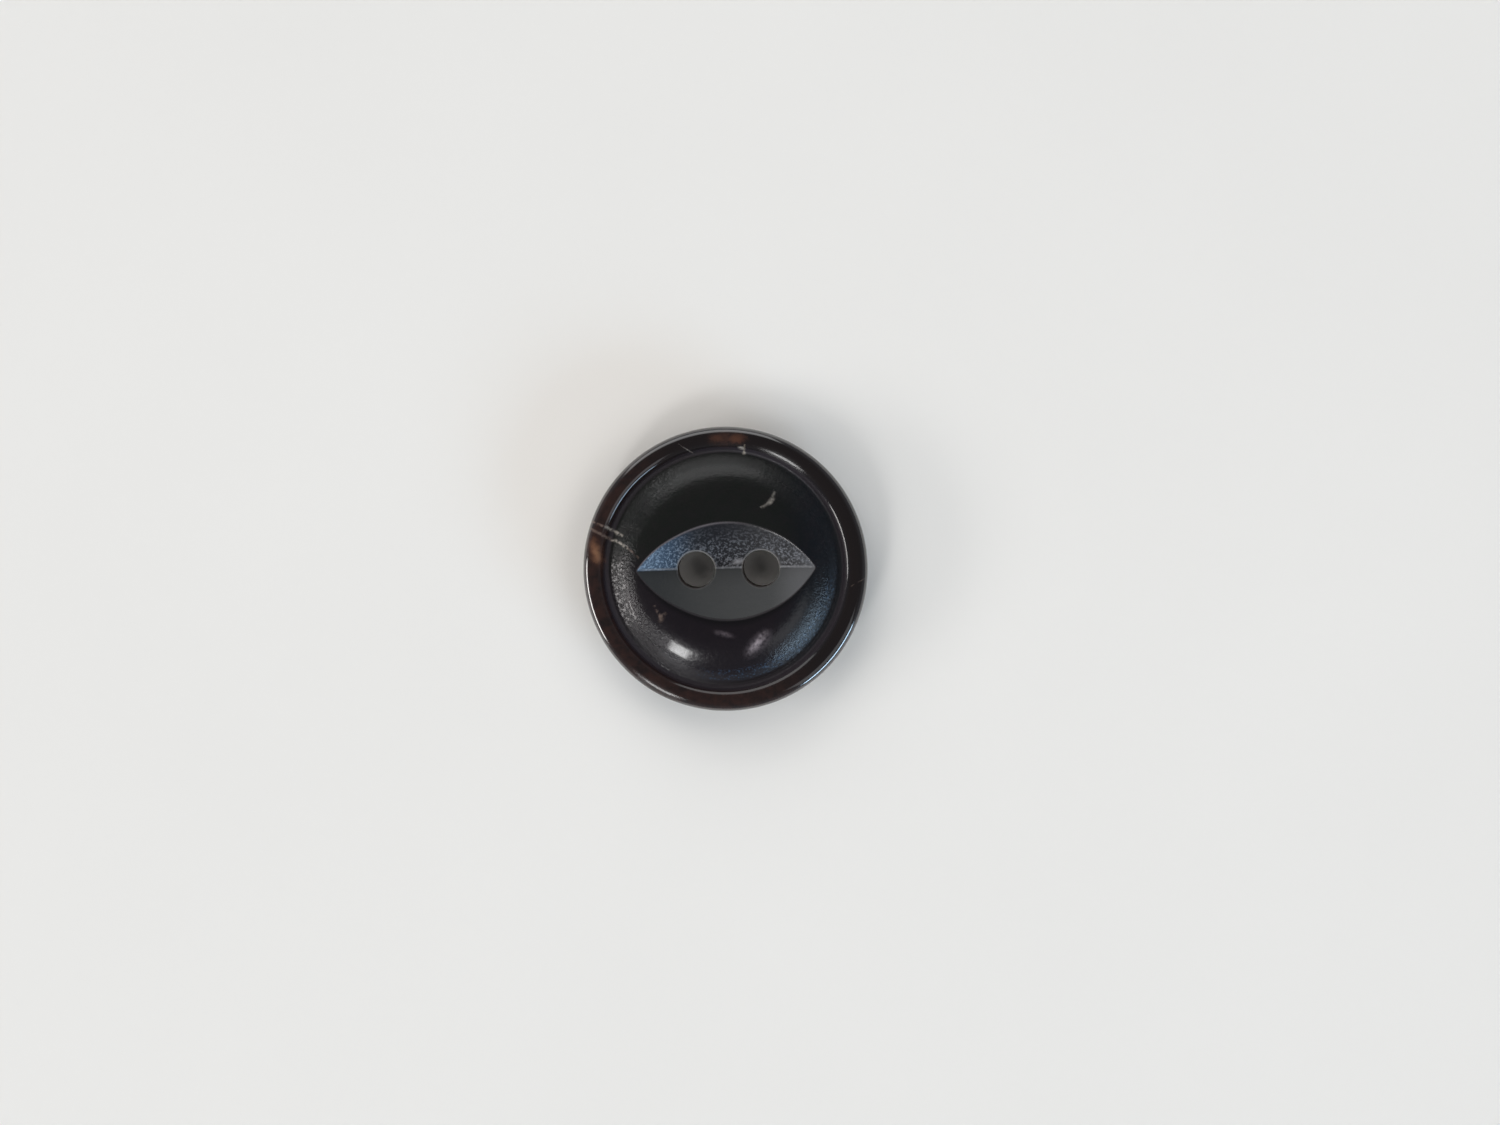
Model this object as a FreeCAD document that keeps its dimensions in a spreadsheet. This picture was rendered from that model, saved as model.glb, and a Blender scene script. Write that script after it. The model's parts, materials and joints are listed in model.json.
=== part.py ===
"""Two-hole sew-on button with a rim and a V-cut fish eye, turned and cut from one blank.

The frame: millimetres, +Z out of the face, origin on the flat back under the centre of the
outline, +X along the line through the two sew holes. The button has no separate pieces, so the
document has one body. Its features follow the order of the work on the blank:

1. the lathe turns the back, the bevel, the wall, the rim bead, the groove and the domed face;
2. a disc cutter with a V edge plunges into the face and leaves the fish eye;
3. two sew holes are drilled through the floor of the eye;
4. the holes' edges on the back are rounded.
"""

import FreeCAD, Part

import math
import os

import Sketcher

NODE = "button_body"
SHEET = "Sizes"

# Driving dimensions in millimetres, angles in degrees.
DIMENSIONS = {
    # Overall
    "outer_diameter": 18.0,
    "total_thickness": 3.6,
    # Back and wall
    "land_diameter": 12.4,
    "bevel_height": 1.5,
    "land_round": 3.0,
    "wall_round": 0.8,
    # Rim: a flattened bead, tighter at its outer edge, whose inner side falls to the groove
    "rim_height": 2.8,
    "rim_crown_diameter": 16.6,
    "rim_crown_radius": 0.82,
    "rim_edge_radius": 0.55,
    "rim_slope": 55.0,
    "groove_radius": 0.25,
    # Face: flat inside the crest circle, then a rounded shoulder and a short cone
    "crest_diameter": 8.0,
    "shoulder_radius": 4.4,
    "shoulder_slope": 33.0,
    # Fish eye: the path of a V-edged disc, whose two flanks lean a little differently
    "eye_depth": 1.7,
    "cutter_radius": 12.3,
    "front_flank_slope": 28.5,
    "back_flank_slope": 30.2,
    # Sew holes
    "hole_diameter": 2.33,
    "hole_spacing": 4.1,
    # The eye and the holes are cut in one clamping, a little off the turned centre along X
    "eye_shift": 0.2,
    "hole_edge_round": 0.15,
}

# Sketcher's numbers for the points of a curve, the origin and the two axes.
START = 1
END = 2
CENTRE = 3
ORIGIN = (-1, 1)
X_AXIS = -1
Y_AXIS = -2
UP = FreeCAD.Vector(0, 0, 1)

# How far the V section stands above the face, so that the cutter clears it.
CUTTER_CLEARANCE = 0.6
# The line that marks the cutter's axis in its sketch reaches this far to each side.
AXIS_REACH = 1.0
# A finished feature must take away at least this much, in cubic millimetres.
LEAST_CUT = 0.001
# Two lengths that differ by less than this are the same, in millimetres.
MATCH = 0.001


def make_sheet(doc):
    """Put each driving dimension in a cell of its own, with its name as the alias."""
    sheet = doc.addObject("Spreadsheet::Sheet", SHEET)
    for row, (name, value) in enumerate(DIMENSIONS.items(), start=1):
        sheet.set(f"A{row}", name)
        sheet.set(f"B{row}", str(value))
        sheet.setAlias(f"B{row}", name)
    doc.recompute()
    return sheet


def origin_plane(body, role):
    """The body's own origin plane with this role, such as XY_Plane."""
    return next(f for f in body.Origin.OriginFeatures if f.Role == role)


def new_sketch(body, name, role):
    sketch = body.newObject("Sketcher::SketchObject", name)
    sketch.AttachmentSupport = [(origin_plane(body, role), "")]
    sketch.MapMode = "FlatFace"
    return sketch


def constrain(sketch, *terms):
    return sketch.addConstraint(Sketcher.Constraint(*terms))


def hold(sketch, name, size, *terms):
    """Add a named constraint and let the sheet drive it: size is an alias or starts with one."""
    index = constrain(sketch, *terms)
    sketch.renameConstraint(index, name)
    sketch.setExpression(f"Constraints.{name}", f"{SHEET}.{size}")


def point(x, y):
    return FreeCAD.Vector(x, y, 0)


def line(start, end):
    return Part.LineSegment(start, end)


def arc(centre, radius, start_deg, end_deg):
    circle = Part.Circle(centre, UP, radius)
    return Part.ArcOfCircle(circle, math.radians(start_deg), math.radians(end_deg))


def revolved(body, kind, name, sketch, axis):
    """A Revolution adds the turned sketch to the body, and a Groove takes it away."""
    feature = body.newObject(kind, name)
    feature.Profile = sketch
    feature.ReferenceAxis = (sketch, [axis])
    feature.Angle = 360
    return feature


def outline_points(sheet):
    """Corners and arc centres of the half section: x is the radius and y is the height."""
    outer = sheet.outer_diameter / 2
    crown = sheet.rim_crown_radius
    edge = sheet.rim_edge_radius
    groove = sheet.groove_radius
    shoulder = sheet.shoulder_radius
    rim_slope = math.radians(sheet.rim_slope)
    cone_slope = math.radians(sheet.shoulder_slope)
    down_rim = point(-math.cos(rim_slope), -math.sin(rim_slope))
    up_cone = point(-math.cos(cone_slope), math.sin(cone_slope))
    from_rim = point(-math.sin(rim_slope), math.cos(rim_slope))
    from_cone = point(math.sin(cone_slope), math.cos(cone_slope))

    at = {}
    at["rim_crown"] = point(sheet.rim_crown_diameter / 2, sheet.rim_height - crown)
    at["rim_top"] = at["rim_crown"] + from_rim * crown
    # The edge's arc touches both the wall and the crown's arc.
    lean = math.acos((outer - edge - at["rim_crown"].x) / (crown - edge))
    towards_edge = point(math.cos(lean), math.sin(lean))
    at["rim_edge"] = at["rim_crown"] + towards_edge * (crown - edge)
    at["edge_top"] = at["rim_crown"] + towards_edge * crown
    at["shoulder"] = point(sheet.crest_diameter / 2, sheet.total_thickness - shoulder)
    at["cone_top"] = at["shoulder"] + from_cone * shoulder
    # Cone and rim side meet in a corner, and the groove is the round in that corner.
    across = at["rim_top"] - at["cone_top"]
    cone_length = (across.x * down_rim.y - across.y * down_rim.x) / (
        up_cone.y * down_rim.x - up_cone.x * down_rim.y
    )
    corner = at["cone_top"] - up_cone * cone_length
    reach = groove * math.tan((rim_slope + cone_slope) / 2)
    at["rim_foot"] = corner - down_rim * reach
    at["cone_foot"] = corner + up_cone * reach
    at["groove"] = at["cone_foot"] + from_cone * groove
    return at


def turned_profile(body, sheet):
    """Sketch of the lathe's half section, held by constraints that read the sheet."""
    sketch = new_sketch(body, "TurnedProfile", "XZ_Plane")
    outer = sheet.outer_diameter / 2
    land = sheet.land_diameter / 2
    crest = sheet.crest_diameter / 2
    top = sheet.total_thickness
    bevel = sheet.bevel_height
    at = outline_points(sheet)
    to_edge = at["edge_top"] - at["rim_crown"]
    lean = math.degrees(math.atan2(to_edge.y, to_edge.x))
    cone_slope, rim_slope = sheet.shoulder_slope, sheet.rim_slope

    # The outline runs counter-clockwise from the axis, along the back and over the rim.
    outline = {
        "back": line(point(0, 0), point(land, 0)),
        "bevel": line(point(land, 0), point(outer, bevel)),
        "wall": line(point(outer, bevel), point(outer, at["rim_edge"].y)),
        "rim_edge": arc(at["rim_edge"], sheet.rim_edge_radius, 0, lean),
        "rim_crown": arc(at["rim_crown"], sheet.rim_crown_radius, lean, 90 + rim_slope),
        "rim_side": line(at["rim_top"], at["rim_foot"]),
        "groove": arc(at["groove"], sheet.groove_radius, 270 - cone_slope, 270 + rim_slope),
        "cone": line(at["cone_foot"], at["cone_top"]),
        "shoulder": arc(at["shoulder"], sheet.shoulder_radius, 90 - cone_slope, 90),
        "face": line(point(crest, top), point(0, top)),
        "axis": line(point(0, top), point(0, 0)),
    }
    edge = {name: sketch.addGeometry(shape, False) for name, shape in outline.items()}

    smooth = ("wall", "rim_edge", "rim_crown", "rim_side", "groove", "cone", "shoulder")
    names = list(outline)
    for here, after in zip(names, names[1:] + names[:1]):
        # The groove is hollow, so its arc runs against the outline.
        leaving = START if here == "groove" else END
        arriving = END if after == "groove" else START
        joint = "Tangent" if here in smooth else "Coincident"
        constrain(sketch, joint, edge[here], leaving, edge[after], arriving)
    constrain(sketch, "Coincident", edge["back"], START, *ORIGIN)
    constrain(sketch, "Horizontal", edge["back"])
    constrain(sketch, "Horizontal", edge["face"])
    constrain(sketch, "Vertical", edge["wall"])
    constrain(sketch, "Vertical", edge["axis"])

    hold(sketch, "land", "land_diameter / 2", "DistanceX", *ORIGIN, edge["back"], END, land)
    hold(sketch, "outer", "outer_diameter / 2", "DistanceX", *ORIGIN, edge["wall"], START, outer)
    hold(sketch, "bevel", "bevel_height", "DistanceY", *ORIGIN, edge["wall"], START, bevel)
    hold(sketch, "crest", "crest_diameter / 2", "DistanceX", *ORIGIN, edge["face"], START, crest)
    hold(sketch, "thickness", "total_thickness", "DistanceY", *ORIGIN, edge["face"], START, top)
    hold(sketch, "rim_middle", "rim_crown_diameter / 2", "DistanceX",
         *ORIGIN, edge["rim_crown"], CENTRE, at["rim_crown"].x)
    hold(sketch, "rim_level", "rim_height - Sizes.rim_crown_radius", "DistanceY",
         *ORIGIN, edge["rim_crown"], CENTRE, at["rim_crown"].y)
    for name in ("rim_edge", "rim_crown", "groove", "shoulder"):
        size = name + "_radius"
        hold(sketch, size, size, "Radius", edge[name], sheet.get(size))
    hold(sketch, "rim_slope", "rim_slope - 180", "Angle",
         edge["rim_side"], math.radians(rim_slope - 180))
    hold(sketch, "cone_slope", "shoulder_slope * -1 + 180", "Angle",
         edge["cone"], math.radians(180 - cone_slope))
    return sketch


def eye_section(body, sheet):
    """V section of the disc cutter, seen along X, with the cutter's own axis above it."""
    sketch = new_sketch(body, "EyeSection", "YZ_Plane")
    sketch.setExpression("AttachmentOffset.Base.z", f"{SHEET}.eye_shift")
    floor = sheet.total_thickness - sheet.eye_depth
    top = sheet.total_thickness + CUTTER_CLEARANCE
    height = top - floor
    front = height / math.tan(math.radians(sheet.front_flank_slope))
    back = height / math.tan(math.radians(sheet.back_flank_slope))

    front_flank = sketch.addGeometry(line(point(0, floor), point(-front, top)), False)
    closing = sketch.addGeometry(line(point(-front, top), point(back, top)), False)
    back_flank = sketch.addGeometry(line(point(back, top), point(0, floor)), False)
    axis_level = floor + sheet.cutter_radius
    centre_line = sketch.addGeometry(
        line(point(-AXIS_REACH, axis_level), point(AXIS_REACH, axis_level)), True
    )
    constrain(sketch, "Coincident", front_flank, END, closing, START)
    constrain(sketch, "Coincident", closing, END, back_flank, START)
    constrain(sketch, "Coincident", back_flank, END, front_flank, START)
    constrain(sketch, "Horizontal", closing)
    constrain(sketch, "Horizontal", centre_line)
    constrain(sketch, "PointOnObject", front_flank, START, Y_AXIS)
    constrain(sketch, "DistanceX", *ORIGIN, centre_line, START, -AXIS_REACH)
    constrain(sketch, "DistanceX", *ORIGIN, centre_line, END, AXIS_REACH)

    hold(sketch, "eye_floor", "total_thickness - Sizes.eye_depth", "DistanceY",
         *ORIGIN, front_flank, START, floor)
    hold(sketch, "cutter_top", f"total_thickness + {CUTTER_CLEARANCE}", "DistanceY",
         *ORIGIN, closing, START, top)
    hold(sketch, "cutter_radius", "cutter_radius", "DistanceY",
         front_flank, START, centre_line, START, sheet.cutter_radius)
    hold(sketch, "front_flank", "front_flank_slope * -1 + 180", "Angle",
         front_flank, math.radians(180 - sheet.front_flank_slope))
    hold(sketch, "back_flank", "back_flank_slope - 180", "Angle",
         back_flank, math.radians(sheet.back_flank_slope - 180))
    return sketch


def hole_pair(body, sheet):
    """Plan of the two sew holes, on the X axis."""
    sketch = new_sketch(body, "SewHoles", "XY_Plane")
    radius = sheet.hole_diameter / 2
    for name, side in (("left", -1), ("right", 1)):
        middle = sheet.eye_shift + side * sheet.hole_spacing / 2
        circle = sketch.addGeometry(Part.Circle(point(middle, 0), UP, radius), False)
        constrain(sketch, "PointOnObject", circle, CENTRE, X_AXIS)
        hold(sketch, name + "_diameter", "hole_diameter", "Diameter", circle, sheet.hole_diameter)
        hold(sketch, name + "_middle", f"eye_shift + {side} * Sizes.hole_spacing / 2", "DistanceX",
             *ORIGIN, circle, CENTRE, middle)
    return sketch


def edges_where(feature, wanted):
    """Names of the feature's edges that the test picks."""
    return [f"Edge{n}" for n, edge in enumerate(feature.Shape.Edges, start=1) if wanted(edge)]


def rounded(body, name, base, edges, size):
    fillet = body.newObject("PartDesign::Fillet", name)
    fillet.Base = (base, edges)
    fillet.setExpression("Radius", f"{SHEET}.{size}")
    return fillet


def circle_at(radius, height):
    """Test for a full circle about the button's axis."""
    def wanted(edge):
        box = edge.BoundBox
        return (
            isinstance(edge.Curve, Part.Circle)
            and abs(edge.Curve.Radius - radius) < MATCH
            and abs(box.ZMin - height) < MATCH
            and abs(box.ZMax - height) < MATCH
        )
    return wanted


def cut_away(doc, before, feature, what):
    """The volume left after the feature, once it is sure that it took something away."""
    doc.recompute()
    after = feature.Shape.Volume
    if not before - after > LEAST_CUT:
        raise RuntimeError(f"{what} cuts nothing: {before:.3f} mm3 before and {after:.3f} mm3 after")
    return after


def build(doc):
    sheet = make_sheet(doc)
    body = doc.addObject("PartDesign::Body", NODE)
    body.Label = NODE
    body.Placement = FreeCAD.Placement()

    blank = revolved(body, "PartDesign::Revolution", "Blank", turned_profile(body, sheet), "V_Axis")
    doc.recompute()
    volume = blank.Shape.Volume

    land_edge = edges_where(blank, circle_at(sheet.land_diameter / 2, 0))
    land = rounded(body, "LandRound", blank, land_edge, "land_round")
    volume = cut_away(doc, volume, land, "the round of the back land")
    wall_edge = edges_where(land, circle_at(sheet.outer_diameter / 2, sheet.bevel_height))
    wall = rounded(body, "WallRound", land, wall_edge, "wall_round")
    volume = cut_away(doc, volume, wall, "the round of the wall")

    eye = revolved(body, "PartDesign::Groove", "FishEye", eye_section(body, sheet), "Axis0")
    volume = cut_away(doc, volume, eye, "the fish eye")

    holes = body.newObject("PartDesign::Pocket", "SewHolePair")
    holes.Profile = hole_pair(body, sheet)
    holes.Type = "ThroughAll"
    holes.Reversed = True
    volume = cut_away(doc, volume, holes, "the pair of sew holes")

    back_edges = edges_where(holes, circle_at(sheet.hole_diameter / 2, 0))
    hole_edges = rounded(body, "HoleEdges", holes, back_edges, "hole_edge_round")
    cut_away(doc, volume, hole_edges, "the round of the hole edges")
    body.Tip = hole_edges
    doc.recompute()
    return body


def check(doc, body):
    """Stop before anything is written if an object failed or the solid is not sound."""
    for thing in doc.Objects:
        faults = [state for state in thing.State if state in ("Invalid", "Error")]
        if faults:
            raise RuntimeError(f"{thing.Name} is {faults}")
    shape = body.Shape
    if shape.isNull() or not shape.isValid() or len(shape.Solids) != 1:
        raise RuntimeError(f"{body.Label} is not one valid solid")


def main():
    doc = FreeCAD.newDocument("SewOnButton")
    body = build(doc)
    check(doc, body)
    os.makedirs("parts", exist_ok=True)
    body.Shape.exportStep(os.path.join("parts", f"{body.Label}.step"))
    box = body.Shape.optimalBoundingBox(False, False)
    print(f"{body.Label}: {box.XLength:.2f} x {box.YLength:.2f} x {box.ZLength:.2f} mm, "
          f"{body.Shape.Volume:.1f} mm3")


main()
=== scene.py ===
"""Looks of a dark horn sew-on button: a two-hole fish eye with a rim, lying face up on a pale floor.

Shapes are worked out in millimetres and scaled to metres when a mesh or a lamp is made. The outline,
the thickness and the sew holes are read from the frame; the other sizes repeat the design's.
"""

import json
import math

import bmesh
import bpy
import numpy as np
from mathutils import Matrix, Vector


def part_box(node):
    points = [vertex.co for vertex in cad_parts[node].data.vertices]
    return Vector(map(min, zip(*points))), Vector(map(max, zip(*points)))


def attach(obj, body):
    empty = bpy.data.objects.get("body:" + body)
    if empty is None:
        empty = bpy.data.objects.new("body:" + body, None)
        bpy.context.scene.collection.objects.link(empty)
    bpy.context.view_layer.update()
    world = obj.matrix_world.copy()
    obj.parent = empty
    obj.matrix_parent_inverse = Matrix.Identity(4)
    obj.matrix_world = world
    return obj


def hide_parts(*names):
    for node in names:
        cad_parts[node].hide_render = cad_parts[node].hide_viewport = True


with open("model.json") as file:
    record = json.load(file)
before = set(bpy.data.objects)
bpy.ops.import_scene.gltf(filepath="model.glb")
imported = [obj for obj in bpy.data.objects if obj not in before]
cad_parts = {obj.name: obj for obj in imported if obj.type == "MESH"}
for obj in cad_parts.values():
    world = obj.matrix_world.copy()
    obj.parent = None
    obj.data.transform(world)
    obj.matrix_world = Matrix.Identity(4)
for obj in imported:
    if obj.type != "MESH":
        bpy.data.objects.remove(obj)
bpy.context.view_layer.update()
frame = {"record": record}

NODE = "button_body"
MM = 0.001

# ---------------------------------------------------------------------------------------------
# Sizes of the button, in millimetres
# ---------------------------------------------------------------------------------------------
LOW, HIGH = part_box(NODE)
OUTER = (HIGH.x - LOW.x) / 2 / MM
TOP = (HIGH.z - LOW.z) / MM
BORES = [mount for mount in frame["record"]["mounts"] if mount["kind"] == "bore"]
HOLES = sorted(mount["pos_m"][0] / MM for mount in BORES)
HOLE_RADIUS = BORES[0]["dims"]["r_mm"]
EYE_MIDDLE = sum(HOLES) / 2

# Back and rim
LAND = 6.2
BEVEL = 1.5
LAND_ROUND = 3.0
WALL_ROUND = 0.8
RIM_HEIGHT = 2.8
RIM_CROWN = 8.3
RIM_CROWN_ROUND = 0.82
RIM_EDGE_ROUND = 0.55
RIM_SLOPE = math.radians(55.0)
GROOVE = 0.25
# Face
CREST = 4.0
SHOULDER = 4.4
CONE_SLOPE = math.radians(33.0)
SHOULDER_END = CREST + SHOULDER * math.sin(CONE_SLOPE)
SHOULDER_END_Z = TOP - SHOULDER * (1 - math.cos(CONE_SLOPE))
# Fish eye
EYE_DEPTH = 1.7
CUTTER = 12.3
FRONT_FALL = math.tan(math.radians(28.5))
BACK_FALL = math.tan(math.radians(30.2))
# Rounds that tumbling leaves, how far the painted shade below the eye reaches, and how far the face is
# turned off the outline's centre
MOUTH_ROUND = 0.12
BACK_MOUTH_ROUND = 0.15
EYE_EDGE_SOFT = 0.06
CREASE_SOFT = 0.05
EYE_SHADE_REACH = 0.30
RUNOUT = 0.09
RUNOUT_FADE = 0.8
# Rounds of halving that find the eye's outline
HALVINGS = 40


# ---------------------------------------------------------------------------------------------
# Surfaces of the button
# ---------------------------------------------------------------------------------------------
def face_height(radius):
    """Height of the turned face inside the groove, at this distance from its own centre."""
    out = np.clip(radius - CREST, 0, SHOULDER_END - CREST)
    dome = TOP - SHOULDER + np.sqrt(SHOULDER**2 - out**2)
    return dome - np.clip(radius - SHOULDER_END, 0, None) * math.tan(CONE_SLOPE)


def cut_height(x, y):
    """Height of the valley that the V-edged disc leaves, with its bottom slightly rounded."""
    off = np.sqrt(y * y + CREASE_SOFT**2) - CREASE_SOFT
    reach = CUTTER - off * np.where(y < 0, FRONT_FALL, BACK_FALL)
    return TOP - EYE_DEPTH + CUTTER - np.sqrt(reach**2 - (x - EYE_MIDDLE) ** 2)


def face_minus_cut(x, y):
    """How far the turned face stands above the valley; it is negative outside the eye."""
    return face_height(np.hypot(x + RUNOUT, y)) - cut_height(x, y)


def top_height(x, y):
    """The lower of the face and the valley, with the edge between them rounded over."""
    above = face_minus_cut(x, y)
    near = np.clip(EYE_EDGE_SOFT - np.abs(above), 0, None) / EYE_EDGE_SOFT
    return cut_height(x, y) + np.minimum(above, 0) - near**2 * EYE_EDGE_SOFT / 4


def eye_outline(angles):
    """Points of the eye's outline in these directions from its middle, found by halving."""
    near = np.zeros(len(angles))
    far = np.full(len(angles), SHOULDER_END)
    for _ in range(HALVINGS):
        middle = (near + far) / 2
        inside = face_minus_cut(EYE_MIDDLE + middle * np.cos(angles), middle * np.sin(angles)) > 0
        near = np.where(inside, middle, near)
        far = np.where(inside, far, middle)
    return np.stack([EYE_MIDDLE + near * np.cos(angles), near * np.sin(angles)], axis=1)


# ---------------------------------------------------------------------------------------------
# Half section from the shoulder over the rim to the back land
# ---------------------------------------------------------------------------------------------
def straight(start, end, steps):
    """Points of a straight stretch, without its first one."""
    shares = np.linspace(0, 1, steps + 1)[1:, None]
    return list(np.array(start) + shares * np.subtract(end, start))


def arc_points(centre, radius, angles):
    return [centre + radius * np.array([math.cos(a), math.sin(a)]) for a in angles]


def corner_round(before, corner, after, radius, steps):
    """Points of the round that takes off a corner between two straight stretches."""
    corner = np.array(corner, float)
    back = np.subtract(before, corner)
    ahead = np.subtract(after, corner)
    back = back / np.linalg.norm(back)
    ahead = ahead / np.linalg.norm(ahead)
    half = math.acos(float(back @ ahead)) / 2
    middle = (back + ahead) / np.linalg.norm(back + ahead)
    centre = corner + middle * radius / math.sin(half)
    first = corner + back * radius / math.tan(half) - centre
    last = corner + ahead * radius / math.tan(half) - centre
    sweep = math.pi - 2 * half
    shares = np.linspace(0, 1, steps + 1)
    return [
        centre + (first * math.sin((1 - s) * sweep) + last * math.sin(s * sweep)) / math.sin(sweep)
        for s in shares
    ]


def side_profile():
    """(radius, height) of every ring outside the eye, from the shoulder to the back land."""
    crown = np.array([RIM_CROWN, RIM_HEIGHT - RIM_CROWN_ROUND])
    rim_top = crown + RIM_CROWN_ROUND * np.array([-math.sin(RIM_SLOPE), math.cos(RIM_SLOPE)])
    # The tighter arc at the edge touches both the wall and the crown's arc.
    lean = math.acos((OUTER - RIM_EDGE_ROUND - RIM_CROWN) / (RIM_CROWN_ROUND - RIM_EDGE_ROUND))
    towards_edge = np.array([math.cos(lean), math.sin(lean)])
    edge = crown + towards_edge * (RIM_CROWN_ROUND - RIM_EDGE_ROUND)
    shoulder = np.array([SHOULDER_END, SHOULDER_END_Z])
    rise, fall = math.tan(RIM_SLOPE), math.tan(CONE_SLOPE)
    run = (shoulder[1] - rim_top[1] + rise * (rim_top[0] - shoulder[0])) / (fall + rise)
    groove = corner_round(shoulder, shoulder + [run, -run * fall], rim_top, GROOVE, 12)
    wall = corner_round((OUTER, edge[1]), (OUTER, BEVEL), (LAND, 0), WALL_ROUND, 10)
    land = corner_round((OUTER, BEVEL), (LAND, 0), (0, 0), LAND_ROUND, 10)
    over_crown = np.linspace(math.pi / 2 + RIM_SLOPE, lean, 20)[1:]
    over_edge = np.linspace(lean, 0, 12)[1:]

    profile = straight(shoulder, groove[0], 12) + groove[1:]
    profile += straight(groove[-1], rim_top, 3)
    profile += arc_points(crown, RIM_CROWN_ROUND, over_crown)
    profile += arc_points(edge, RIM_EDGE_ROUND, over_edge)
    profile += straight((OUTER, edge[1]), wall[0], 3) + wall[1:]
    profile += straight(wall[-1], land[0], 8) + land[1:]
    return profile


def runout_at(radius, height):
    """Shift along X of a ring: whole up to the groove, and none from the rim's crown outwards."""
    share = np.clip((RIM_CROWN - radius) / RUNOUT_FADE, 0, 1)
    return -RUNOUT * share * share * (3 - 2 * share) if height > BEVEL else 0.0


# ---------------------------------------------------------------------------------------------
# Mesh of the button: rings and half plates of quads that share their border points
# ---------------------------------------------------------------------------------------------
QUARTER_STEPS = 96
SPINE_STEPS = 40
FLOOR_RINGS = 26
MOUTH_RINGS = 6
FACE_RINGS = 32
WALL_RINGS = 12
BACK_RINGS = 14
# Powers that crowd the points towards the tips of the eye and the middle of each half's border
TIP_CROWDING = 1.5
SPINE_CROWDING = 1.4
# Points closer than this are one, in metres; a hole's wall lies this near its radius, in millimetres
SAME_POINT = 1e-7
ON_WALL = 0.001


def full_turn(crowding):
    """Angles of one turn from the +X tip, crowded at both tips of the eye for crowding over 1."""
    quarter = math.pi / 2 * np.linspace(0, 1, QUARTER_STEPS + 1) ** crowding
    half = np.concatenate([quarter, math.pi - quarter[-2::-1]])
    return np.concatenate([half, -half[-2:0:-1]])


def ring(centre_x, radius, angles, height):
    x = centre_x + radius * np.cos(angles)
    return np.stack([x, radius * np.sin(angles), np.broadcast_to(height, x.shape)], axis=1)


def half_border(border, side):
    """Closed border of one half: along the middle line, round the border and back again."""
    steps = 2 * QUARTER_STEPS
    turns = (QUARTER_STEPS + np.arange(steps + 1) * -side) % len(border)
    arc = border[turns]
    rise = (np.arange(SPINE_STEPS) / SPINE_STEPS)[:, None] ** SPINE_CROWDING
    middle = np.array([arc[0][0], 0.0])
    up = middle + rise * (arc[0] - middle)
    down = middle + rise[:0:-1] * (arc[-1] - middle)
    return np.concatenate([up, arc, down])


def hole_angles(border, hole):
    return np.unwrap(np.arctan2(border[:, 1], border[:, 0] - hole))


def plate_rows(border, hole, mouth, rings):
    """Rows of plan points: circles over the hole's rounded mouth, then on out to the border."""
    angles = hole_angles(border, hole)
    directions = np.stack([np.cos(angles), np.sin(angles)], axis=1)
    middle = np.array([hole, 0.0])
    turns = np.linspace(0, math.pi / 2, MOUTH_RINGS + 1)
    rows = [middle + directions * (HOLE_RADIUS + mouth * (1 - math.cos(turn))) for turn in turns]
    shares = (1 - np.cos(math.pi * np.linspace(0, 1, rings + 1)[1:])) / 2
    return rows + [rows[-1] + share * (border - rows[-1]) for share in shares]


def mouth_drop(plan, hole, size):
    """How far the rounded mouth of a hole lies under the surface round it."""
    off = np.clip(np.hypot(plan[:, 0] - hole, plan[:, 1]) - HOLE_RADIUS, 0, size)
    return size - np.sqrt(size**2 - (size - off) ** 2)


def with_height(plan, height):
    return np.column_stack([plan, height])


def grid_quads(rows, first):
    """Quads between neighbouring closed rows, whose points are numbered from first."""
    around = len(rows[0])
    ahead = (np.arange(around) + 1) % around
    quads = []
    for k in range(len(rows) - 1):
        here = first + k * around
        there = here + around
        quads += [(here + i, here + j, there + j, there + i) for i, j in enumerate(ahead)]
    return quads


def button_patches():
    """Every patch of the surface as a list of closed rows of points."""
    outline = eye_outline(full_turn(TIP_CROWDING))
    even = full_turn(1.0)
    shoulder = ring(-RUNOUT, SHOULDER_END, even, 0)[:, :2]
    shares = 1 - np.cos(math.pi / 2 * np.linspace(0, 1, FACE_RINGS + 1))
    rows = [outline + share * (shoulder - outline) for share in shares]
    rows = [with_height(row, top_height(row[:, 0], row[:, 1])) for row in rows]
    rows += [ring(runout_at(r, z), r, even, z) for r, z in side_profile()]
    patches = [rows]

    land_edge = rows[-1][:, :2]
    for hole, side in zip(HOLES, (-1, 1)):
        top_border = half_border(outline, side)
        back_border = half_border(land_edge, side)
        floor = [
            with_height(plan, top_height(*plan.T) - mouth_drop(plan, hole, MOUTH_ROUND))
            for plan in plate_rows(top_border, hole, MOUTH_ROUND, FLOOR_RINGS)
        ]
        back = [
            with_height(plan, mouth_drop(plan, hole, BACK_MOUTH_ROUND))
            for plan in plate_rows(back_border, hole, BACK_MOUTH_ROUND, BACK_RINGS)
        ]
        top_angles = hole_angles(top_border, hole)
        back_angles = hole_angles(back_border, hole)
        wall = [
            ring(hole, HOLE_RADIUS, top_angles + share * (back_angles - top_angles),
                 floor[0][:, 2] + share * (BACK_MOUTH_ROUND - floor[0][:, 2]))
            for share in np.linspace(0, 1, WALL_RINGS + 1)
        ]
        patches += [floor, wall, back]
    return patches


def store(mesh, name, values):
    attribute = mesh.attributes.new(name, "FLOAT", "POINT")
    attribute.data.foreach_set("value", np.asarray(values, np.float32))


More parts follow.
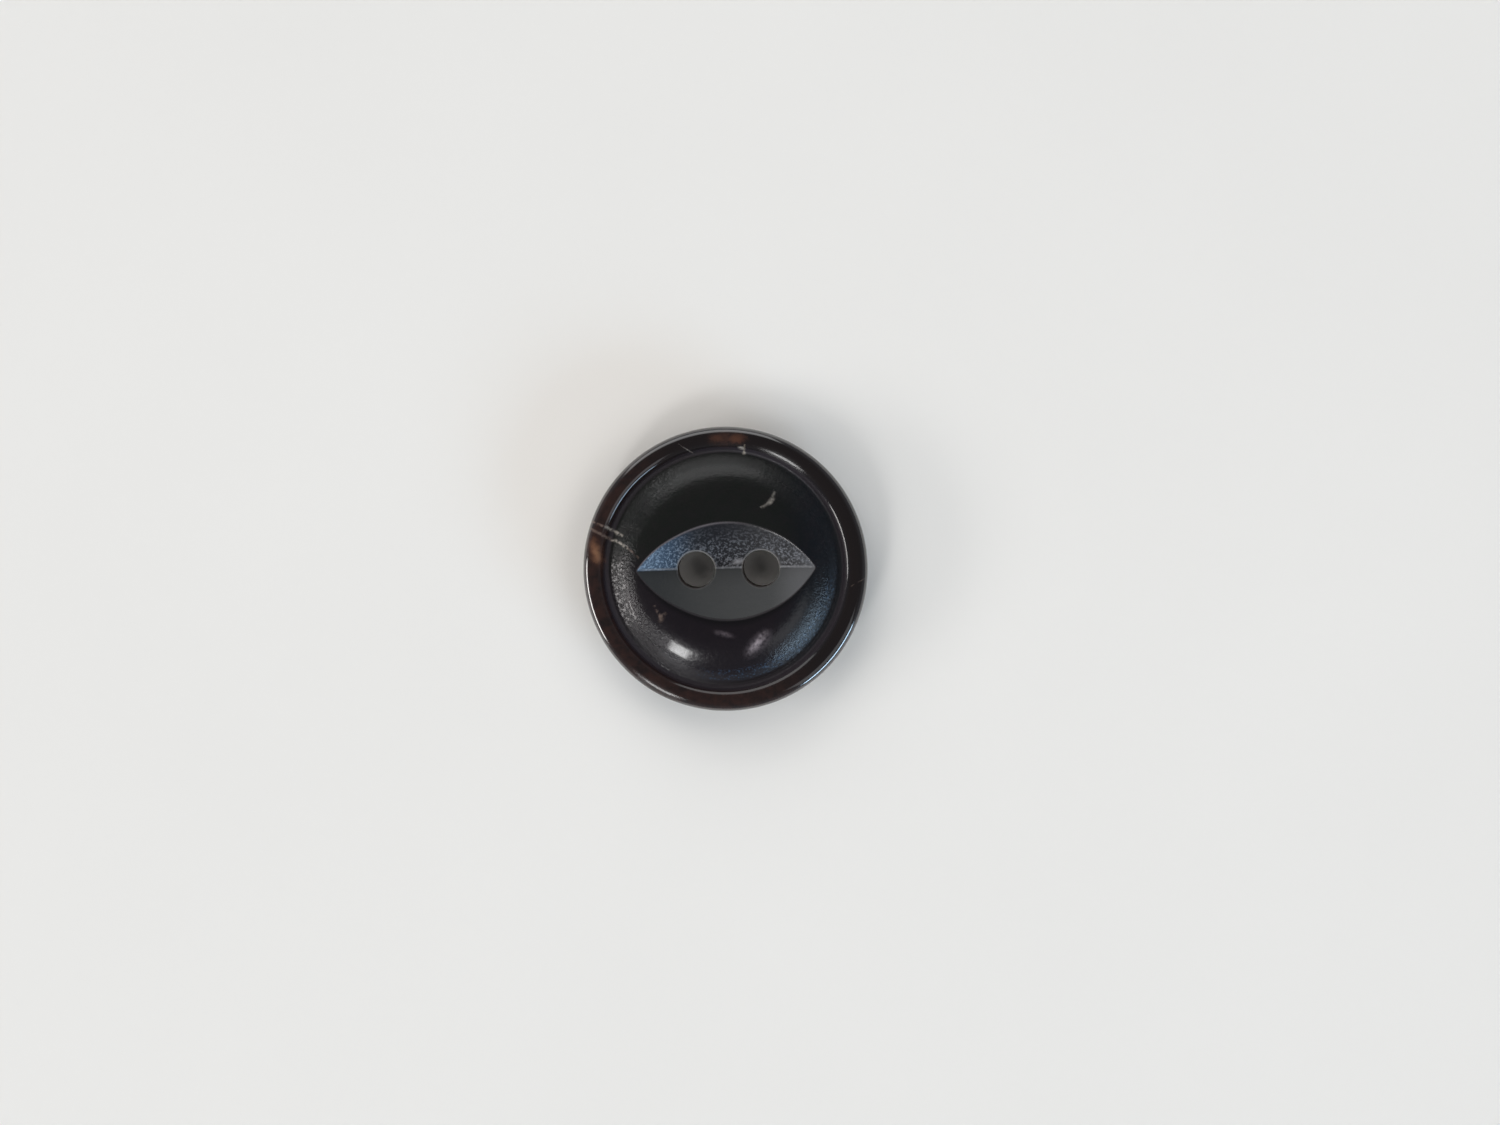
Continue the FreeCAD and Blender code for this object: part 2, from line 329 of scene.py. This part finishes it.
def mark_regions(mesh):
    """Shares from 0 to 1 that the material reads: the eye's floor, its worn edge, which carries a painted
    highlight, the band round it that carries painted shade, and the holes.
    """
    points = np.zeros(len(mesh.vertices) * 3)
    mesh.vertices.foreach_get("co", points)
    x, y, z = points.reshape(-1, 3).T / MM
    above = face_minus_cut(x, y)
    on_top = z > BEVEL
    from_hole = np.min([np.hypot(x - hole, y) for hole in HOLES], axis=0) - HOLE_RADIUS
    store(mesh, "eye_floor", np.clip(above / EYE_EDGE_SOFT, 0, 1) * on_top)
    store(mesh, "eye_edge", np.clip(1 - np.abs(above) / EYE_EDGE_SOFT, 0, 1) * on_top)
    # Band round the eye's edge; the material paints shade in it below the eye.
    store(mesh, "eye_near", np.clip(1 + above / EYE_SHADE_REACH, 0, 1) * on_top)
    store(mesh, "top", on_top)
    store(mesh, "mouth", np.clip(1 - from_hole / MOUTH_ROUND, 0, 1) * on_top)
    store(mesh, "bore", from_hole < ON_WALL)


def make_button():
    shape = bmesh.new()
    for rows in button_patches():
        points = [shape.verts.new(Vector(p) * MM) for p in np.concatenate(rows)]
        for quad in grid_quads(rows, 0):
            shape.faces.new([points[i] for i in quad])
    bmesh.ops.remove_doubles(shape, verts=shape.verts, dist=SAME_POINT)
    bmesh.ops.recalc_face_normals(shape, faces=shape.faces)
    for face in shape.faces:
        face.smooth = True
    mesh = bpy.data.meshes.new("button")
    shape.to_mesh(mesh)
    shape.free()
    mark_regions(mesh)
    button = bpy.data.objects.new("horn_button", mesh)
    bpy.context.scene.collection.objects.link(button)
    return button


# ---------------------------------------------------------------------------------------------
# Materials
# ---------------------------------------------------------------------------------------------
# Radii over which the finish changes, in millimetres: from the groove to the rim, and at its edge
RIM_START = (7.62, 7.78)
RIM_EDGE = (8.62, 8.74)
# Relief of the horn, in millimetres, and how close its lines lie
SANDING = 0.012
PITTING = 0.036
LATHE_DEPTH = 0.002
STREAKS_PER_RADIAN = 46.0
LATHE_LINES_PER_MM = 7.0


def srgb(red, green, blue):
    """A colour given as 0 to 255 screen values, as linear values with alpha."""
    linear = [
        v / 255 / 12.92 if v / 255 <= 0.04045 else ((v / 255 + 0.055) / 1.055) ** 2.4
        for v in (red, green, blue)
    ]
    return (*linear, 1.0)


class Graph:
    """Short calls for the nodes of one material."""

    def __init__(self, name):
        self.material = bpy.data.materials.new(name)
        self.material.use_nodes = True
        self.tree = self.material.node_tree
        self.shader = self.tree.nodes["Principled BSDF"]

    def node(self, kind, **settings):
        made = self.tree.nodes.new("ShaderNode" + kind)
        for key, value in settings.items():
            setattr(made, key, value)
        return made

    def feed(self, socket, value):
        if isinstance(value, bpy.types.NodeSocket):
            self.tree.links.new(value, socket)
        else:
            socket.default_value = value

    def math(self, operation, *values):
        made = self.node("Math", operation=operation)
        for socket, value in zip(made.inputs, values):
            self.feed(socket, value)
        return made.outputs[0]

    def add(self, a, b):
        return self.math("ADD", a, b)

    def times(self, a, b):
        return self.math("MULTIPLY", a, b)

    def length(self, a, b):
        return self.math("SQRT", self.add(self.times(a, a), self.times(b, b)))

    def step(self, value, low, high):
        """0 below low and 1 above high, or the other way round, smooth between them."""
        made = self.node("MapRange", interpolation_type="SMOOTHSTEP")
        self.feed(made.inputs["Value"], value)
        turned = low > high
        made.inputs["From Min"].default_value = min(low, high)
        made.inputs["From Max"].default_value = max(low, high)
        made.inputs["To Min"].default_value = 1.0 if turned else 0.0
        made.inputs["To Max"].default_value = 0.0 if turned else 1.0
        return made.outputs[0]

    def band(self, value, low, high, soft):
        """1 between low and high, fading to 0 over soft on each side."""
        return self.times(self.step(value, low - soft, low), self.step(value, high + soft, high))

    def mix(self, share, a, b):
        made = self.node("Mix", data_type="RGBA")
        self.feed(made.inputs["Factor"], share)
        self.feed(made.inputs["A"], a)
        self.feed(made.inputs["B"], b)
        return made.outputs["Result"]

    def blend(self, share, a, b):
        """A number that goes from a to b."""
        made = self.node("Mix", data_type="FLOAT")
        self.feed(made.inputs["Factor"], share)
        self.feed(made.inputs["A"], a)
        self.feed(made.inputs["B"], b)
        return made.outputs["Result"]

    def noise(self, at, scale, detail=3.0, roughness=0.5, distortion=0.0):
        made = self.node("TexNoise")
        self.feed(made.inputs["Vector"], at)
        made.inputs["Scale"].default_value = scale
        made.inputs["Detail"].default_value = detail
        made.inputs["Roughness"].default_value = roughness
        made.inputs["Distortion"].default_value = distortion
        return made.outputs["Fac"]

    def vector(self, x, y, z):
        made = self.node("CombineXYZ")
        for socket, value in zip(made.inputs, (x, y, z)):
            self.feed(socket, value)
        return made.outputs[0]

    def attribute(self, name):
        return self.node("Attribute", attribute_name=name).outputs["Fac"]

    def bump(self, height, distance, strength=1.0, after=None):
        made = self.node("Bump")
        made.inputs["Strength"].default_value = strength
        made.inputs["Distance"].default_value = distance
        self.feed(made.inputs["Height"], height)
        if after is not None:
            self.feed(made.inputs["Normal"], after)
        return made.outputs[0]


def polar(radius, degrees):
    return radius * math.cos(math.radians(degrees)), radius * math.sin(math.radians(degrees))


class Place:
    """Where a surface point is: position in millimetres, polar place and shares of each region."""

    def __init__(self, graph):
        scaled = graph.node("VectorMath", operation="SCALE")
        graph.feed(scaled.inputs[0], graph.node("TexCoord").outputs["Object"])
        scaled.inputs["Scale"].default_value = 1 / MM
        split = graph.node("SeparateXYZ")
        graph.feed(split.inputs[0], scaled.outputs[0])
        self.at = scaled.outputs[0]
        self.x, self.y = split.outputs["X"], split.outputs["Y"]
        self.radius = graph.length(self.x, self.y)
        flat = graph.node("VectorMath", operation="MULTIPLY")
        graph.feed(flat.inputs[0], self.at)
        flat.inputs[1].default_value = (1, 1, 0)
        outward = graph.node("VectorMath", operation="NORMALIZE")
        graph.feed(outward.inputs[0], flat.outputs[0])
        self.outward = outward.outputs[0]
        self.eye_floor = graph.attribute("eye_floor")
        self.eye_edge = graph.attribute("eye_edge")
        self.eye_near = graph.attribute("eye_near")
        self.mouth = graph.attribute("mouth")
        self.bore = graph.attribute("bore")
        self.top = graph.attribute("top")


def turned(graph, place, middle, lean):
    """Coordinates along and across a direction, from a point of the face."""
    turn = math.radians(lean)
    dx = graph.add(place.x, -middle[0])
    dy = graph.add(place.y, -middle[1])
    along = graph.add(graph.times(dx, math.cos(turn)), graph.times(dy, math.sin(turn)))
    across = graph.add(graph.times(dx, -math.sin(turn)), graph.times(dy, math.cos(turn)))
    return along, across


def smudge(graph, place, middle, size, lean, wobble=None):
    """1 in the middle of a leaning ellipse and 0 at its edge; size is its half length and width."""
    along, across = turned(graph, place, middle, lean)
    off = graph.length(graph.times(along, 1 / size[0]), graph.times(across, 1 / size[1]))
    if wobble is not None:
        off = graph.add(off, wobble)
    return graph.step(off, 1.0, 0.0)


def stroke(graph, place, start, end, width, bulge=0.0, wobble=None):
    """1 on a thin line from start to end, bowed sideways by bulge, and 0 beside it."""
    length = math.dist(start, end)
    lean = math.degrees(math.atan2(end[1] - start[1], end[0] - start[0]))
    along, across = turned(graph, place, start, lean)
    share = graph.times(along, 1 / length)
    bow = graph.times(graph.times(share, graph.add(graph.times(share, -1.0), 1.0)), 4 * bulge)
    off = graph.add(across, graph.times(bow, -1.0))
    if wobble is not None:
        off = graph.add(off, wobble)
    line = graph.step(graph.math("ABSOLUTE", off), width, 0.0)
    return graph.times(line, graph.band(share, 0.06, 0.94, 0.08))


def dull_rim(graph, place):
    """1 on the stretch of the rim at the lower left whose polish has gone dull."""
    return smudge(graph, place, polar(8.7, 239), (3.0, 0.9), 329)


def beside_middle(graph, place):
    """0 along the face's middle line and 1 well to its left and right."""
    return graph.step(graph.math("ABSOLUTE", place.x), 1.5, 4.0)


def horn_colour(graph, place, cloud, fibre, grain):
    """Near-black horn: greenish above, purplish below, red-brown at the rim, with painted shade towards
    the right, painted glints in specks on the slope, a groove painted lighter against its shade and
    painted shade below the eye.

    The eye's two flanks carry painted light and shade: a grey lower flank and a dark upper one with a
    painted blue reflection at its left, a painted highlight towards the right tip and painted glints on
    it, plus a painted glint and a painted highlight along the valley.
    """
    south = graph.step(graph.add(place.y, graph.times(cloud, 5.0)), 4.2, 1.2)
    colour = graph.mix(south, srgb(20, 22, 20), srgb(23, 19, 23))
    # Painted shade: the face and rim turn darker and bluer towards the right, standing in for the dim
    # side there.
    east_shade = graph.step(graph.add(place.x, graph.times(cloud, 3.0)), 4.0, 7.5)
    colour = graph.mix(east_shade, colour, srgb(12, 16, 21))
    streaks = graph.step(fibre, 0.35, 0.70)
    colour = graph.mix(graph.times(streaks, 0.3), colour, srgb(30, 24, 27))
    # Painted light: the groove is lightened to offset the dark shade that gathers in it.
    groove = graph.band(place.radius, 7.45, 7.70, 0.14)
    colour = graph.mix(graph.times(groove, 0.8), colour, srgb(44, 39, 44))

    # Painted glints: grey specks on the left slope and blue specks on the lower right slope stand in for
    # the sparkle of the lamps' reflections there.
    specks = graph.times(graph.step(grain, 0.50, 0.66), place.top)
    west_glints = graph.times(graph.step(place.x, -2.5, -5.0), graph.band(place.y, -2.6, 0.2, 1.8))
    west_glints = graph.times(graph.band(place.radius, 6.1, 7.0, 0.3), west_glints)
    colour = graph.mix(graph.times(graph.times(specks, west_glints), 0.38), colour, srgb(92, 88, 91))
    south_east_glints = graph.add(graph.times(place.x, 0.6), graph.times(place.y, -0.8))
    south_east_glints = graph.step(south_east_glints, 3.6, 5.6)
    south_east_glints = graph.times(graph.band(place.radius, 6.5, 6.9, 0.25), south_east_glints)
    colour = graph.mix(graph.times(graph.times(specks, south_east_glints), 0.45), colour, srgb(66, 90, 116))

    rim = graph.step(place.radius, 7.6, 7.95)
    colour = graph.mix(rim, colour, srgb(24, 19, 19))
    reddish = graph.step(graph.add(graph.times(place.x, 1.2), graph.times(place.y, 0.8)), 3.0, -5.0)
    reddish = graph.times(graph.times(rim, reddish), graph.step(fibre, 0.25, 0.65))
    colour = graph.mix(reddish, colour, srgb(44, 29, 26))

    # Painted shade: a dark band just below the eye's lower edge.
    lower_eye_shade = graph.times(place.eye_near, graph.step(place.y, 0.5, -1.2))
    colour = graph.mix(graph.times(lower_eye_shade, 0.95), colour, srgb(9, 9, 10))
    # Painted light and shade on the eye's flanks: the lower flank grey as lit, the upper one dark as
    # shaded.
    flank_light_and_shade = graph.mix(graph.step(place.y, -0.1, 0.1), srgb(47, 49, 50), srgb(12, 12, 18))
    upper = graph.step(place.y, -0.05, 0.05)
    # Painted reflection: the left end of the upper flank is tinted blue as a window's reflection.
    left = graph.times(graph.step(place.x, -1.5, -4.5), upper)
    flank_light_and_shade = graph.mix(graph.times(left, 0.85), flank_light_and_shade, srgb(32, 54, 78))
    # Painted highlight: the flank turns lighter towards the right tip.
    right = graph.step(graph.add(place.x, graph.times(upper, -1.2)), 2.6, 5.0)
    flank_light_and_shade = graph.mix(graph.times(right, 0.8), flank_light_and_shade, srgb(82, 83, 86))
    # Painted glints: bright sparks on the upper flank, bluish at its left end.
    lit = graph.times(upper, graph.step(place.y, 3.2, 0.6))
    sparks = graph.times(graph.step(grain, 0.48, 0.62), lit)
    spark_tint = graph.mix(left, srgb(116, 118, 124), srgb(138, 160, 182))
    flank_light_and_shade = graph.mix(graph.times(sparks, graph.blend(left, 0.70, 0.60)), flank_light_and_shade, spark_tint)
    # Painted glint: a light spot just above the valley, right of the middle.
    glint = smudge(graph, place, (0.82, 0.44), (0.60, 0.28), 10)
    flank_light_and_shade = graph.mix(graph.times(glint, 0.75), flank_light_and_shade, srgb(140, 140, 144))
    # Painted highlight along the valley's rounded bottom.
    valley = stroke(graph, place, (-5.5, 0.07), (5.8, 0.07), 0.12)
    flank_light_and_shade = graph.mix(graph.times(valley, 0.55), flank_light_and_shade, srgb(120, 122, 126))
    return graph.mix(place.eye_floor, colour, flank_light_and_shade)


def see_through(graph, place, colour, fibre):
    """Amber patches where the rim lets light through, at the top and at the left."""
    ragged = graph.times(graph.add(fibre, -0.5), 1.3)
    top_patch = smudge(graph, place, polar(8.30, 88), (1.60, 0.75), -4, ragged)
    top_core = smudge(graph, place, polar(8.25, 83.5), (0.85, 0.44), -6, ragged)
    top_core_left = smudge(graph, place, polar(8.30, 92.0), (0.75, 0.36), 2, ragged)
    left_patch = smudge(graph, place, polar(8.25, 171), (1.40, 0.70), 108, ragged)
    left_core = smudge(graph, place, (-8.15, 1.25), (0.95, 0.46), 104, ragged)
    dim, warm, bright = srgb(50, 34, 30), srgb(78, 50, 38), srgb(132, 96, 72)
    for share, tint, strength in (
        (top_patch, dim, 0.9), (top_core_left, warm, 0.5), (top_core, warm, 0.85),
        (left_patch, warm, 0.85), (left_core, bright, 0.75),
    ):
        colour = graph.mix(graph.times(share, strength), colour, tint)
    return colour


def marks(graph, place, colour, fibre, grain):
    """Cream veins, scuffs and scratches, and one painted pinkish highlight, each broken up by the grain.
    """
    wobble = graph.times(graph.add(fibre, -0.5), 0.22)
    broken = graph.step(grain, 0.30, 0.72)
    worn = graph.step(grain, 0.10, 0.80)
    cream, bone, tan = srgb(150, 138, 124), srgb(164, 158, 150), srgb(112, 96, 88)
    pink, pale_pink = srgb(116, 106, 112), srgb(156, 146, 150)
    upper_vein = stroke(graph, place, (-8.82, 3.32), (-7.35, 2.72), 0.13, 0.03, wobble)
    upper_dots = stroke(graph, place, (-7.55, 2.84), (-6.40, 2.20), 0.17, 0.0, wobble)
    lower_vein = stroke(graph, place, (-8.82, 2.88), (-7.00, 1.92), 0.15, 0.04, wobble)
    lower_dots = stroke(graph, place, (-7.20, 2.05), (-6.05, 1.42), 0.17, 0.03, wobble)
    lower_tail = stroke(graph, place, (-6.25, 1.55), (-5.40, 0.78), 0.11, 0.05, wobble)
    nick = smudge(graph, place, (1.20, 7.62), (0.34, 0.15), -15)
    nick_drop = smudge(graph, place, (1.34, 7.30), (0.19, 0.18), 0)
    nick_line = stroke(graph, place, (1.40, 7.88), (1.33, 7.25), 0.09)
    rim_line = stroke(graph, place, polar(7.55, 104), polar(8.5, 109.5), 0.06)
    scratch = stroke(graph, place, (3.28, 4.90), (2.36, 3.84), 0.17, 0.18, wobble)
    scratch_core = smudge(graph, place, (3.06, 4.28), (0.42, 0.19), 52, wobble)
    fork = stroke(graph, place, (-4.52, -2.15), (-4.12, -3.10), 0.15, 0.05, wobble)
    fork_arm = stroke(graph, place, (-4.20, -2.95), (-3.72, -2.62), 0.15, 0.0, wobble)
    fork_foot = smudge(graph, place, (-4.06, -3.02), (0.40, 0.25), 55, wobble)
    east_line = stroke(graph, place, polar(8.0, 351), polar(8.85, 355), 0.05)
    # Painted highlight: a pinkish spot of lamp light on the slope below the eye, to the right.
    pink_highlight = smudge(graph, place, (1.98, -4.72), (1.50, 0.68), 46, wobble)
    pink_highlight_core = smudge(graph, place, (1.98, -4.66), (1.25, 0.34), 50, wobble)
    low_scuff = smudge(graph, place, (-0.15, -4.06), (0.95, 0.27), -15, wobble)
    for share, tint, breaks, strength in (
        (upper_vein, tan, broken, 0.9), (upper_dots, bone, broken, 0.9),
        (lower_vein, tan, worn, 0.8), (lower_dots, bone, broken, 1.0), (lower_tail, tan, broken, 0.6),
        (nick, bone, worn, 1.0), (nick_drop, bone, worn, 0.8), (nick_line, cream, worn, 0.5),
        (rim_line, bone, broken, 0.4), (scratch, bone, broken, 0.35), (scratch_core, bone, worn, 0.75),
        (fork, tan, broken, 0.45), (fork_arm, tan, broken, 0.45), (fork_foot, tan, worn, 0.8),
        (east_line, tan, broken, 0.5), (pink_highlight, pink, worn, 0.65),
        (pink_highlight_core, pale_pink, worn, 0.85), (low_scuff, pink, worn, 0.5),
    ):
        shown = graph.times(graph.times(share, breaks), graph.times(place.top, strength))
        colour = graph.mix(shown, colour, tint)
    return colour


def horn_roughness(graph, place, grain, cloud):
    """Polished dome, satin slope, matt groove and eye, glossy rim with two dull stretches, satin back."""
    rough = graph.blend(graph.step(place.radius, 6.35, 6.95), 0.22, 0.42)
    rough = graph.blend(graph.step(place.radius, 7.25, 7.45), rough, 0.50)
    dull_edge = dull_rim(graph, place)
    dull_inside = smudge(graph, place, polar(7.93, 61), (2.4, 0.7), 151)
    glossy = graph.blend(graph.math("MAXIMUM", dull_edge, dull_inside), 0.10, 0.40)
    rough = graph.blend(graph.step(place.radius, *RIM_START), rough, glossy)
    rough = graph.blend(place.eye_floor, rough, 0.40)
    rough = graph.blend(place.eye_edge, rough, 0.22)
    rough = graph.blend(place.mouth, rough, 0.16)
    rough = graph.blend(place.bore, rough, 0.50)
    rough = graph.blend(place.top, graph.blend(place.bore, 0.34, 0.50), rough)
    rough = graph.add(rough, graph.times(graph.add(cloud, -0.5), 0.10))
    return graph.add(rough, graph.times(graph.add(grain, -0.5), 0.12))


def horn_polish(graph, place, grain):
    """Share of clear polish: whole at the rim's edge but for a dull stretch, and less on its crown.

    The face has it only in specks on its slope and on one rubbed patch at the lower left.
    """
    specks = graph.times(graph.step(grain, 0.50, 0.62), place.top)
    slope = graph.times(graph.band(place.radius, 6.2, 7.2, 0.4), graph.step(place.eye_floor, 0.1, 0.0))
    slope = graph.times(slope, beside_middle(graph, place))
    rubbed = smudge(graph, place, polar(6.05, 239), (1.8, 1.2), 329)
    polish = graph.add(graph.times(graph.times(specks, slope), 0.30), graph.times(rubbed, 0.5))
    polish = graph.blend(graph.step(place.radius, *RIM_START), polish, 0.28)
    edge_polish = graph.blend(dull_rim(graph, place), 1.0, 0.25)
    return graph.blend(graph.step(place.radius, *RIM_EDGE), polish, edge_polish)


def horn_relief(graph, place, grain, fine_grain):
    """Sanding grain inside the rim, streaks and pits on the outer slope, lathe lines all over."""
    inside = graph.times(graph.step(place.radius, 7.80, 7.60), place.top)
    fine = graph.bump(graph.times(graph.add(grain, -0.5), inside), SANDING * MM)
    rays = graph.node("VectorMath", operation="SCALE")
    graph.feed(rays.inputs[0], place.outward)
    rays.inputs["Scale"].default_value = STREAKS_PER_RADIAN
    streaks = graph.add(graph.noise(rays.outputs[0], 1.0, 2.0, 0.6), -0.5)
    slope = graph.times(graph.band(place.radius, 5.9, 7.2, 0.5), inside)
    slope = graph.times(slope, beside_middle(graph, place))
    pitted = graph.add(graph.times(streaks, 0.5), graph.add(fine_grain, -0.5))
    relief = graph.bump(graph.times(pitted, slope), PITTING * MM, 1.0, fine)
    lines = graph.vector(graph.times(place.radius, LATHE_LINES_PER_MM), 0.0, 0.0)
    lathe = graph.times(graph.noise(lines, 1.0, 2.0, 0.5), graph.blend(place.top, 3.0, 1.0))
    return graph.bump(lathe, LATHE_DEPTH * MM, 1.0, relief)


def horn_material():
    graph = Graph("dark_horn")
    place = Place(graph)
    cloud = graph.noise(place.at, 0.35, 4.0, 0.6)
    fibre = graph.noise(place.at, 1.7, 5.0, 0.65, 0.4)
    grain = graph.noise(place.at, 4.2, 1.5, 0.6)
    fine_grain = graph.noise(place.at, 6.0, 2.5, 0.8)

    colour = horn_colour(graph, place, cloud, fibre, fine_grain)
    colour = see_through(graph, place, colour, fibre)
    colour = marks(graph, place, colour, fibre, grain)
    # Painted highlight along the eye's rounded edge: faint all round, strongest at the upper left.
    lit_edge = graph.times(graph.step(place.x, 2.5, -1.5), graph.step(place.y, 0.0, 0.4))
    lit_edge = graph.times(place.eye_edge, graph.blend(lit_edge, 0.20, 0.75))
    colour = graph.mix(lit_edge, colour, srgb(108, 102, 106))
    # The hole mouths are lighter all round as worn, with a painted highlight on their upper side.
    rubbed = graph.times(place.mouth, graph.blend(graph.step(place.y, -0.3, 0.6), 0.30, 0.95))
    colour = graph.mix(rubbed, colour, srgb(150, 148, 146))
    colour = graph.mix(place.bore, colour, srgb(42, 28, 20))
    graph.feed(graph.shader.inputs["Base Color"], colour)
    graph.feed(graph.shader.inputs["Roughness"], horn_roughness(graph, place, grain, cloud))
    graph.feed(graph.shader.inputs["Normal"], horn_relief(graph, place, grain, fine_grain))
    graph.feed(graph.shader.inputs["Coat Weight"], horn_polish(graph, place, fine_grain))
    graph.shader.inputs["Coat Roughness"].default_value = 0.10
    graph.shader.inputs["Coat IOR"].default_value = 1.7
    graph.shader.inputs["IOR"].default_value = 1.42
    return graph.material


def floor_material():
    graph = Graph("pale_floor")
    tone = graph.noise(graph.node("TexCoord").outputs["Object"], 40.0, 3.0)
    colour = graph.mix(tone, srgb(229, 227, 223), srgb(233, 231, 227))
    graph.feed(graph.shader.inputs["Base Color"], colour)
    graph.shader.inputs["Roughness"].default_value = 0.9
    graph.shader.inputs["Specular IOR Level"].default_value = 0.2
    return graph.material


# ---------------------------------------------------------------------------------------------
# Floor, light and camera
# ---------------------------------------------------------------------------------------------
FLOOR_SIZE = 3.0
# The floor lies this many millimetres under the back land, so that the two never share a plane.
FLOOR_GAP = 0.02


def make_floor():
    shape = bmesh.new()
    bmesh.ops.create_grid(shape, x_segments=8, y_segments=8, size=FLOOR_SIZE / 2)
    mesh = bpy.data.meshes.new("floor")
    shape.to_mesh(mesh)
    shape.free()
    floor = bpy.data.objects.new("floor", mesh)
    floor.location.z = -FLOOR_GAP * MM
    bpy.context.scene.collection.objects.link(floor)
    mesh.materials.append(floor_material())


def direction(azimuth, elevation):
    """Unit vector towards a place in the sky; azimuth is counted from +X towards +Y, in degrees."""
    a, e = math.radians(azimuth), math.radians(elevation)
    return Vector((math.cos(a) * math.cos(e), math.sin(a) * math.cos(e), math.sin(e)))


def make_lamp(name, azimuth, elevation, distance, size, glow, colour, mirrored=True):
    """A rectangular soft box that faces the button; glow is what a mirror would show of it."""
    data = bpy.data.lights.new(name, "AREA")
    data.shape = "RECTANGLE"
    data.size, data.size_y = size
    data.color = colour
    data.energy = glow * math.pi * size[0] * size[1]
    lamp = bpy.data.objects.new(name, data)
    towards = direction(azimuth, elevation)
    lamp.location = towards * distance
    lamp.rotation_mode = "QUATERNION"
    lamp.rotation_quaternion = towards.to_track_quat("Z", "Y")
    lamp.visible_camera = False
    lamp.visible_glossy = mirrored
    bpy.context.scene.collection.objects.link(lamp)


def make_lamps():
    make_lamp("west_window", 194, 19, 1.2, (0.66, 0.25), 10.0, (1.0, 0.97, 0.95))
    make_lamp("south_west_lamp", 239, 37, 1.2, (0.21, 0.36), 13.5, (1.0, 1.0, 1.0))
    make_lamp("south_west_low_lamp", 238, 14, 1.2, (0.36, 0.30), 0.8, (1.0, 1.0, 1.0))
    make_lamp("south_east_window", 316, 16, 1.2, (0.66, 0.24), 14.0, (0.56, 0.78, 1.0))
    make_lamp("south_east_screen", 314, 46, 1.2, (0.60, 0.46), 1.15, (0.95, 0.97, 1.0))
    make_lamp("north_wall", 103, 25, 1.3, (1.6, 0.66), 1.5, (1.0, 1.0, 1.0))
    for side, glow in ((200, 0.9), (290, 0.6), (110, 1.65), (20, 1.25)):
        make_lamp(f"fill_{side}", side, 46, 1.3, (1.0, 0.8), glow, (1.0, 0.97, 0.94), mirrored=False)


def make_sky():
    """A dim grey surrounding, a little darker overhead."""
    world = bpy.data.worlds.new("studio")
    bpy.context.scene.world = world
    world.use_nodes = True
    tree = world.node_tree
    place = tree.nodes.new("ShaderNodeTexCoord")
    split = tree.nodes.new("ShaderNodeSeparateXYZ")
    height = tree.nodes.new("ShaderNodeMapRange")
    sky = tree.nodes.new("ShaderNodeMix")
    sky.data_type = "RGBA"
    height.inputs["From Min"].default_value = 0.15
    height.inputs["From Max"].default_value = 0.85
    sky.inputs["A"].default_value = (0.20, 0.21, 0.23, 1)
    sky.inputs["B"].default_value = (0.10, 0.105, 0.11, 1)
    tree.links.new(place.outputs["Generated"], split.inputs[0])
    tree.links.new(split.outputs["Z"], height.inputs["Value"])
    tree.links.new(height.outputs[0], sky.inputs["Factor"])
    tree.links.new(sky.outputs["Result"], tree.nodes["Background"].inputs["Color"])


# The button's share of the frame's width, and millimetres from its middle to the frame's middle
BUTTON_SHARE = 0.19
FRAME_OFFSET = (1.572, 0.423)
# Degrees and metres
CAMERA_LEAN = 3.0
CAMERA_FROM = 45.0
CAMERA_ROLL = 1.2
CAMERA_DISTANCE = 0.6
# The sensor's width, in millimetres
SENSOR = 36.0


def make_camera():
    """A long lens nearly straight above; the button lies a little left of the frame's middle."""
    data = bpy.data.cameras.new("camera")
    data.sensor_width = SENSOR
    data.lens = SENSOR * CAMERA_DISTANCE * BUTTON_SHARE / (2 * OUTER * MM)
    camera = bpy.data.objects.new("camera", data)
    bpy.context.scene.collection.objects.link(camera)
    bpy.context.scene.camera = camera
    towards = direction(CAMERA_FROM, 90 - CAMERA_LEAN)
    roll = Matrix.Rotation(math.radians(-CAMERA_ROLL), 3, "Z")
    right = roll @ Vector((1, 0, 0))
    right = (right - towards * right.dot(towards)).normalized()
    up = towards.cross(right)
    aim = Vector((0, 0, RIM_HEIGHT * MM)) + (right * FRAME_OFFSET[0] + up * FRAME_OFFSET[1]) * MM
    camera.location = aim + towards * CAMERA_DISTANCE
    camera.rotation_mode = "QUATERNION"
    camera.rotation_quaternion = Matrix((right, up, towards)).transposed().to_quaternion()


# ---------------------------------------------------------------------------------------------
# Scene
# ---------------------------------------------------------------------------------------------
button = make_button()
button.data.materials.append(horn_material())
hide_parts(NODE)
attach(button, "root")
make_floor()
make_lamps()
make_sky()
make_camera()
bpy.context.scene.view_settings.view_transform = "Standard"
